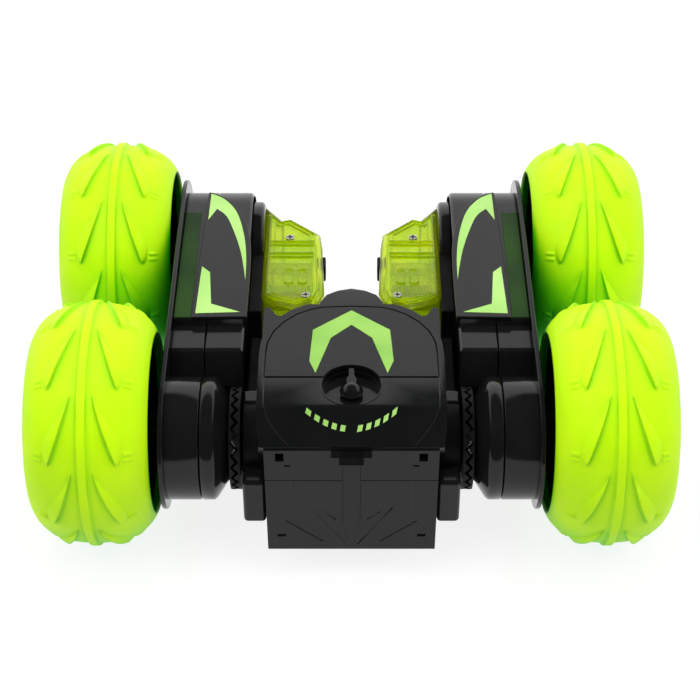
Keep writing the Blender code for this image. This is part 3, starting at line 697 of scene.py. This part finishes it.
def make_pods():
    """Clear motor covers with ribs, wire loops and screws, and the necks that join them to the arms."""
    for name, side in SIDES:
        body = "arm_" + name
        outline = mirrored(POD, side)
        small = shrink(outline, 1.5)
        pod = loft("motor_cover_shell_" + name,
                   [(POD_LOW, outline), (POD_EDGE, outline), (POD_TOP, small)], "Z")
        hollow = shrink(outline, 1.3)
        tiny = shrink(outline, 2.3)
        cut(pod, loft("tool", [(25.8, hollow), (49.4, hollow), (50.6, tiny)], "Z"))
        soften(pod, 0.45, 3)
        settle(pod, body, LENS, ["motor_cover_" + name])
        plan = mirrored([(30.4, -1.5), (35.2, -1.5), (35.2, 44.0), (30.4, 44.0)], side)
        neck = prism("motor_neck_" + name, plan, 25.5, 50.6, "Z")
        soften(neck, 0.6, 2)
        settle(neck, body, DARK)
        trims = []
        low, high = sorted((side * 29.2, side * 13.2))
        for y in (36.4, 34.4, 29.5, 27.4):
            trims.append(box("rib", (low, y - 0.3, TRIM_LOW), (high, y + 0.3, TRIM_TOP)))
        for inset, height in ((2.1, 52.25), (3.7, 52.15)):
            line = shrink(outline, inset)
            inner = shrink(outline, inset + 0.6)
            rim = prism("rim", line, TRIM_LOW, height, "Z")
            cut(rim, prism("tool", inner, 50.0, 53.5, "Z"))
            trims.append(rim)
        for x in (17.0, 21.6):
            low, high = side * x - 1.7, side * x + 1.7
            ring = rounded([(low, 12.0), (high, 12.0), (high, 20.5), (low, 20.5)], 1.4)
            loop = prism("loop", ring, TRIM_LOW, 52.25, "Z")
            cut(loop, prism("tool", shrink(ring, 0.5), 50.0, 53.5, "Z"))
            trims.append(loop)
        trim = merge("motor_cover_ribs_" + name, trims)
        soften(trim, 0.15, 2)
        settle(trim, body, LENS)
        screws = []
        for x, y in ((21.8, 38.6), (15.6, 5.6)):
            screw = rod("screw", (side * x, y), 1.5, TRIM_LOW, TRIM_TOP, "Z", 28)
            for width, depth in ((2.2, 0.5), (0.5, 2.2)):
                cut(screw, box("tool", (side * x - width / 2, y - depth / 2, 51.7),
                               (side * x + width / 2, y + depth / 2, 53.5)))
            screws.append(screw)
        screw = merge("motor_cover_screws_" + name, screws)
        soften(screw, 0.2, 2)
        settle(screw, body, STEEL)
        low, high = sorted((side * 10.6, side * 9.0))
        tab = box("motor_end_tab_" + name, (low, 24.0, 43.5), (high, 30.0, 50.0))
        soften(tab, 0.5, 3)
        settle(tab, body, DARK)


# ------------------------------------------------------------------ central body
def mirrored_polygon(half):
    """Close a half outline given for +X, front to back, with its mirror image."""
    return list(half) + [(-x, y) for x, y in reversed(half) if abs(x) > 1e-6]


BODY_HALF = 29.3  # half width of the shells
TOP_Z = 65.0  # flat top
SEAM_UP, SEAM_DOWN = 40.15, 39.85  # the shells' edges, either side of mid height
RECESS = (0.0, -56.0)  # centre of the latch knob's recess
RECESS_RADIUS = 9.3
SLOPE_FOOT, SLOPE_HEAD = 54.6, 64.8  # heights between which the nose slopes
NOSE_TOP_Y, NOSE_LOW_Y = -74.2, -75.6
NOSE_HALF = 26.8
SCREW_X, SCREW_Y = 22.5, (-64.0, -18.0)
COVER_ARCH = [(27.5, -52.5), (27.4, -39.8), (27.0, -34.9), (25.2, -29.5), (22.1, -24.7), (17.8, -20.6),
              (13.5, -18.2), (9.8, -17.0), (0.0, -16.4)]


def make_upper_shell():
    """Side view of the shell, cut to the plan of its top and of the lower deck behind it."""
    side = [(-73.6, 54.0), (-73.9, 55.2), (-65.9, SLOPE_HEAD), (-65.0, TOP_Z), (-15.6, TOP_Z), (-15.0, 63.9),
            (-7.0, 63.7), (-4.9, 63.1), (-3.4, 50.0), (-3.0, SEAM_UP), (-66.0, SEAM_UP), (-66.0, 50.0)]
    upper = prism("shell_upper", side, -BODY_HALF, BODY_HALF)
    front = [(26.6, -75.0), (28.5, -73.6), (BODY_HALF, -70.5)]
    top_rear = [(BODY_HALF, -40.5), (28.9, -34.6), (27.2, -28.6), (24.2, -23.2), (19.4, -18.4), (14.6, -15.9),
                (10.6, -14.8), (10.3, -13.2), (8.2, -9.1), (3.9, -6.4), (0.0, -4.9)]
    deck_rear = [(BODY_HALF, -8.5), (29.0, -5.2), (27.4, -5.0), (25.2, -9.2), (22.2, -9.8), (19.8, -6.6),
                 (12.0, -5.0), (0.0, -3.4)]
    plan = prism("tool", mirrored_polygon(front + deck_rear), 39.0, 55.2, "Z")
    add(plan, prism("tool", mirrored_polygon(front + top_rear), 55.0, 67.0, "Z"))
    keep(upper, plan)
    cut(upper, prism("tool", mirrored_polygon(COVER_ARCH), 62.6, 67.0, "Z"))
    cut(upper, rod("tool", RECESS, RECESS_RADIUS, 60.0, 67.0, "Z", 72))
    soften(upper, 0.55, 3, 28)
    settle(upper, "chassis", BLACK, ["upper_shell"])
    floor_dish = rod("latch_recess_floor", RECESS, 9.6, 59.0, 60.7, "Z", 72)
    smooth(floor_dish)
    settle(floor_dish, "chassis", BLACK)

    profile = [(64.6, 9.2), (65.08, 9.25), (65.16, 9.5), (65.08, 9.8), (64.6, 9.9)]
    collar = lathe_z("latch_recess_rim", profile, RECESS, 96)
    keep(collar, box("tool", (-12.0, -65.0, 60.0), (12.0, -52.6, 67.0)))
    smooth(collar, 60)
    settle(collar, "chassis", BLACK)


def make_cover_and_knob():
    """Battery cover with its chevron sticker, and the latch knob: round base, dome and pointer."""
    plate = shrink(mirrored_polygon(COVER_ARCH), 0.35)
    cover = prism("battery_cover_plate", plate, 63.2, TOP_Z, "Z")
    cut(cover, box("tool", (-40.0, -56.0, 60.0), (40.0, -51.9, 67.0)))
    cut(cover, rod("tool", RECESS, 9.6, 60.0, 67.0, "Z", 72))
    soften(cover, 0.3, 3)
    settle(cover, "battery_cover", BLACK, ["battery_cover"])
    chevron = [(0.0, -26.4), (6.6, -33.0), (11.3, -50.2), (13.3, -44.4), (12.4, -29.0), (0.0, -19.0)]
    mark = prism("sticker_chevron", mirrored_polygon(chevron), 64.9, 65.12, "Z")
    smooth(mark, 20)
    settle(mark, "battery_cover", DEEP_DECAL)

    profile = [(61.6, 0), (61.6, 3.5), (62.3, 3.7), (62.7, 3.3), (63.2, 3.0), (64.2, 2.3), (64.8, 1.2),
               (TOP_Z, 0)]
    knob = lathe_z("latch_knob_dome", profile, (0.0, -55.6), 48)
    smooth(knob, 40)
    settle(knob, "latch_knob", BLACK, ["latch_knob"])
    low = [(-1.6, -56.0), (1.6, -56.0), (2.3, -52.4), (1.3, -50.4), (1.2, -46.9), (-1.2, -46.9),
           (-1.3, -50.4), (-2.3, -52.4)]
    high = [(-1.1, -56.0), (1.1, -56.0), (1.7, -52.6), (0.9, -50.6), (0.85, -47.2), (-0.85, -47.2),
            (-0.9, -50.6), (-1.7, -52.6)]
    pointer = loft("latch_knob_pointer", [(61.7, low), (64.6, high)], "Z")
    soften(pointer, 0.3, 2)
    settle(pointer, "latch_knob", BLACK)


def nose_y(z):
    """Y of the nose's front face at a height."""
    return NOSE_TOP_Y - 1.4 * (54.2 - z) / 40.6


def slope(x, y, lift=0.0):
    """A point on the slope above the nose, lifted off it."""
    rise = 9.6 / 8.0
    z = SLOPE_HEAD + (y + 65.9) * rise
    normal = Vector((0, -rise, 1)).normalized()
    return (x, y + normal.y * lift, z + normal.z * lift)


def make_nose():
    """Front box under the slope, a little wider at the top, with its slots and screw recesses."""
    lip = [(-73.4, SLOPE_FOOT), (NOSE_TOP_Y, 54.2), (NOSE_LOW_Y, 12.5), (-75.1, 11.9), (-60.0, 11.9),
           (-60.0, SLOPE_FOOT)]
    nose = prism("shell_nose", lip, -NOSE_HALF, NOSE_HALF)
    for vertex in nose.data.vertices:
        height = vertex.co.z / MM
        vertex.co.x *= (26.7 + 0.4 * (height - 13.0) / 41.0) / NOSE_HALF
    cut(nose, box("tool", (-40, -90, 41.9), (40, -74.45, 42.3)))
    for sign in (-1, 1):
        low, high = sorted((sign * 20.9, sign * 23.5))
        cut(nose, box("tool", (low, -80.0, 18.0), (high, -74.85, 50.0)))
        cut(nose, box("tool", (low, -80.0, 49.8), (high, -71.0, 53.0)))
        low, high = sorted((sign * 19.0, sign * 20.9))
        cut(nose, box("tool", (low, -80.0, 47.7), (high, -74.0, 48.3)))
        cut(nose, rod("tool", (sign * SCREW_X, SCREW_Y[0]), 2.8, 11.0, 16.0, "Z", 32))
    soften(nose, 0.45, 3, 28)
    settle(nose, "chassis", BLACK, ["lower_shell"])

    # stepped chin below the nose slope, and the raised lines that meet at the bottom
    steps = []
    for half, low in ((9.6, 54.2), (6.4, 52.2), (3.9, 50.2)):
        face = [(-73.2, 55.5), (-73.9, 55.4), (-73.9 - 0.56 * (55.4 - low), low), (-73.2, low)]
        steps.append(prism("step", face, -half, half))
    chin = merge("nose_chin", steps)
    soften(chin, 0.25, 2)
    settle(chin, "chassis", BLACK)

    ridges = []
    for sign in (-1, 1):
        for line in ([(20.7, 24.8), (9.1, 15.8)], [(13.0, 38.5), (13.0, 30.6), (1.9, 14.6)],
                     [(9.1, 38.5), (9.1, 28.9), (4.9, 25.3)], [(2.9, 50.0), (2.9, 23.0), (0.5, 14.0)],
                     [(19.0, 47.0), (19.0, 20.0)]):
            ridges.append(tube("ridge", [(sign * x, nose_y(z) + 0.05, z) for x, z in line], 0.22, 6))
    ridge = merge("nose_ridges", ridges)
    smooth(ridge, 60)
    settle(ridge, "chassis", BLACK)
    low, high = 24, 49
    face = [(nose_y(high) - 0.25, high), (nose_y(low) - 0.25, low), (nose_y(low) + 0.6, low),
            (nose_y(high) + 0.6, high)]
    strip = prism("nose_strip", face, -2.6, 2.6)
    soften(strip, 0.2, 2)
    settle(strip, "chassis", BLACK)


def make_nose_marks():
    """Thin shield-shaped border and a row of dashes on the slope."""
    borders = []
    for sign in (-1, 1):
        path = [(sign * 27.3, -52.5, 65.02), (sign * 27.25, -60.0, 65.02), (sign * 27.1, -65.4, 65.0)]
        for x, y in ((26.7, -66.6), (25.7, -68.2), (24.4, -69.7), (22.4, -71.4), (19.4, -73.4)):
            path.append(slope(sign * x, y, 0.05))
        borders.append(tube("border", path, 0.28, 8))
    border = merge("nose_border", borders)
    smooth(border, 60)
    settle(border, "chassis", BLACK)

    dashes = []
    reach = 13.2
    for i in (0, 1, 2, 3, 4, 6, 7, 8, 9, 10):
        x = -reach + 2 * reach * i / 10
        y = -66.9 - 3.3 * (1 - (x / reach) ** 2)
        tilt = 0.13 * -x / reach
        builder = bmesh.new()
        low, high = [], []
        for dx, dy in ((-0.95, -0.62), (0.55, -0.62), (0.95, 0.62), (-0.55, 0.62)):
            px, py = x + dx, y + dy + tilt * dx * -4.0
            low.append(builder.verts.new(Vector(slope(px, py, -0.2)) * MM))
            high.append(builder.verts.new(Vector(slope(px, py, 0.1)) * MM))
        builder.faces.new(low)
        builder.faces.new(list(reversed(high)))
        for a in range(4):
            b = (a + 1) % 4
            builder.faces.new((low[a], high[a], high[b], low[b]))
        dashes.append(finish(builder, "dash"))
    dash = merge("sticker_dashes", dashes)
    settle(dash, "chassis", DECAL)


def make_lower_shell():
    """Lower shell behind the nose, its feet, and the knuckles and rails beside the pivot."""
    low = [(-66.0, SEAM_DOWN), (-66.0, 13.0), (-10.0, 13.0), (-6.0, 20.0), (-3.0, SEAM_DOWN)]
    belly = prism("shell_lower", low, -26.4, 26.4)
    high = [(-65.9, SEAM_DOWN), (-65.9, 22.5), (-7.0, 22.5), (-3.1, SEAM_DOWN)]
    add(belly, prism("tool", high, -BODY_HALF, BODY_HALF))
    for sign in (-1, 1):
        for y in SCREW_Y:
            cut(belly, rod("tool", (sign * SCREW_X, y), 2.8, 12.0, 16.0, "Z", 32))
    cut(belly, box("tool", (-4.2, -24.2, 12.0), (4.2, -19.8, 17.0)))
    soften(belly, 0.8, 3, 28)
    settle(belly, "chassis", BLACK)
    for name, sign in SIDES:
        low, high = sorted((sign * 27.0, sign * 34.2))
        foot = box("foot_" + name, (low, -73.6, 22.3), (high, -66.5, SEAM_DOWN))
        soften(foot, 1.4, 4)
        settle(foot, "chassis", BLACK)
        outline = [(28.6, -50.4), (34.7, -50.4), (34.7, -43.6), (28.6, -43.6)]
        taper = [(28.6, -50.4), (31.8, -50.4), (31.8, -45.6), (28.6, -45.6)]
        lug = loft("knuckle_" + name, [(39.5, mirrored(taper, sign)), (48.0, mirrored(outline, sign)),
                                       (52.6, mirrored(outline, sign))], "Z")
        soften(lug, 1.3, 4)
        settle(lug, "chassis", BLACK)
        outline = [(28.8, -38.5), (34.2, -38.5), (34.2, -9.5), (28.8, -9.5)]
        rail = prism("side_rail_" + name, mirrored(outline, sign), 16.0, 46.0, "Z")
        soften(rail, 1.0, 3)
        settle(rail, "chassis", DARK)
        pin = [(36.0, 0.0), (36.0, 0.9)]
        for k in range(5):
            pin += [(36.4 + 0.9 * k, 1.15), (36.85 + 0.9 * k, 0.8)]
        stud = lathe_z("knuckle_pin_" + name, pin + [(41.0, 0.8), (41.0, 0.0)], (sign * 32.9, -51.6), 24)
        smooth(stud, 50)
        settle(stud, "chassis", STEEL)
        profile = [(28.5, 9.0), (28.5, 12.4), (34.0, 12.4), (34.5, 11.8), (34.5, 9.0)]
        pad = lathe("pivot_boss_" + name, profile, PIVOT, sign, 64)
        smooth(pad, 40)
        settle(pad, "chassis", DARK)


def dress_cad():
    """Give the CAD solids that stay visible the materials of their slots."""
    looks = {"black_gloss_plastic": BLACK, "black_matte_plastic": DARK, "neon_rubber": RUBBER,
             "neon_clear_plastic": LENS, "neon_accent": ACCENT, "bright_steel": STEEL, "brass": BRASS,
             "white_nylon": NYLON, "circuit_board": BOARD, "battery_wrap": WRAP}
    slots = {row["node"]: row["material_slot"] for row in frame["record"]["subparts"]}
    for name, item in frame["nodes"].items():
        item.data.materials.clear()
        item.data.materials.append(looks[slots[name]])
        for face in item.data.polygons:
            face.use_smooth = True
        item.data.set_sharp_from_angle(angle=math.radians(30))


# ------------------------------------------------------------------ studio
GROUND_DIFFUSE, GROUND_GLOW = 0.17, 0.85  # a pale floor that still takes soft shadows
SKY_DARK, SKY_WHITE = 0.03, 1.30
LIGHTS = (("key", (-0.6, -0.55, 1.1), 0.8, 7.5), ("fill", (0.7, -0.45, 1.0), 0.8, 6.5),
          ("top", (0.0, 0.15, 1.3), 1.0, 10.0))  # metres and watts
SENSOR, FOCAL = 36.0, 92.674
SIDE_SHIFT = -0.00214  # of the sensor's width
CAMERA_LIFT = math.radians(40.0)
CAMERA_DISTANCE = 0.611
CAMERA_TARGET = Vector((0.0, -0.0092, 0.040))


def make_studio():
    """White floor, a sky that is white low down behind the car, three lights and the camera."""
    scene = bpy.context.scene
    scene.view_settings.view_transform = "Standard"
    scene.view_settings.look = "None"
    floor = box("studio_floor", (-4000, -4000, -2.0), (4000, 4000, 0.0))
    look, _, shader = new_look("floor_white")
    shader.inputs["Base Color"].default_value = (GROUND_DIFFUSE, GROUND_DIFFUSE, GROUND_DIFFUSE, 1)
    shader.inputs["Roughness"].default_value = 0.9
    shader.inputs["Specular IOR Level"].default_value = 0.0
    shader.inputs["Emission Color"].default_value = (1, 1, 1, 1)
    shader.inputs["Emission Strength"].default_value = GROUND_GLOW
    floor.data.materials.append(look)

    world = bpy.data.worlds.new("studio")
    scene.world = world
    world.use_nodes = True
    tree = world.node_tree
    place = node(tree, "ShaderNodeTexCoord")
    split = node(tree, "ShaderNodeSeparateXYZ")
    tree.links.new(place.outputs["Generated"], split.inputs["Vector"])
    height = node(tree, "ShaderNodeMapRange", interpolation_type="SMOOTHSTEP")
    for socket, value in (("From Min", 0.66), ("From Max", 0.76), ("To Min", 1.0), ("To Max", 0.0)):
        height.inputs[socket].default_value = value
    tree.links.new(split.outputs["Z"], height.inputs["Value"])
    back = node(tree, "ShaderNodeMapRange", interpolation_type="SMOOTHSTEP")
    for socket, value in (("From Min", -0.25), ("From Max", 0.10), ("To Min", 0.0), ("To Max", 1.0)):
        back.inputs[socket].default_value = value
    tree.links.new(split.outputs["Y"], back.inputs["Value"])
    both = node(tree, "ShaderNodeMath", operation="MULTIPLY")
    tree.links.new(height.outputs["Result"], both.inputs[0])
    tree.links.new(back.outputs["Result"], both.inputs[1])
    shade = node(tree, "ShaderNodeMapRange")
    for socket, value in (("To Min", SKY_DARK), ("To Max", SKY_WHITE)):
        shade.inputs[socket].default_value = value
    tree.links.new(both.outputs[0], shade.inputs["Value"])
    tree.links.new(shade.outputs["Result"], tree.nodes["Background"].inputs["Color"])

    for name, spot, size, power in LIGHTS:
        data = bpy.data.lights.new(name, "AREA")
        data.energy = power
        data.size = size
        lamp = bpy.data.objects.new(name, data)
        lamp.location = spot
        lamp.rotation_euler = (Vector((0, 0, 0.03)) - Vector(spot)).to_track_quat("-Z", "Y").to_euler()
        lamp.visible_glossy = False
        scene.collection.objects.link(lamp)

    data = bpy.data.cameras.new("camera")
    data.lens = FOCAL
    data.sensor_width = SENSOR
    data.shift_x = SIDE_SHIFT
    camera = bpy.data.objects.new("camera", data)
    away = Vector((0.0, -math.cos(CAMERA_LIFT), math.sin(CAMERA_LIFT)))
    camera.location = CAMERA_TARGET + away * CAMERA_DISTANCE
    camera.rotation_euler = (math.radians(90.0) - CAMERA_LIFT, 0.0, 0.0)
    data.clip_start = 0.01
    scene.collection.objects.link(camera)
    scene.camera = camera


dress_cad()
make_wheels()
make_arms()
make_clutches()
make_pods()
make_upper_shell()
make_cover_and_knob()
make_nose()
make_nose_marks()
make_lower_shell()
make_studio()
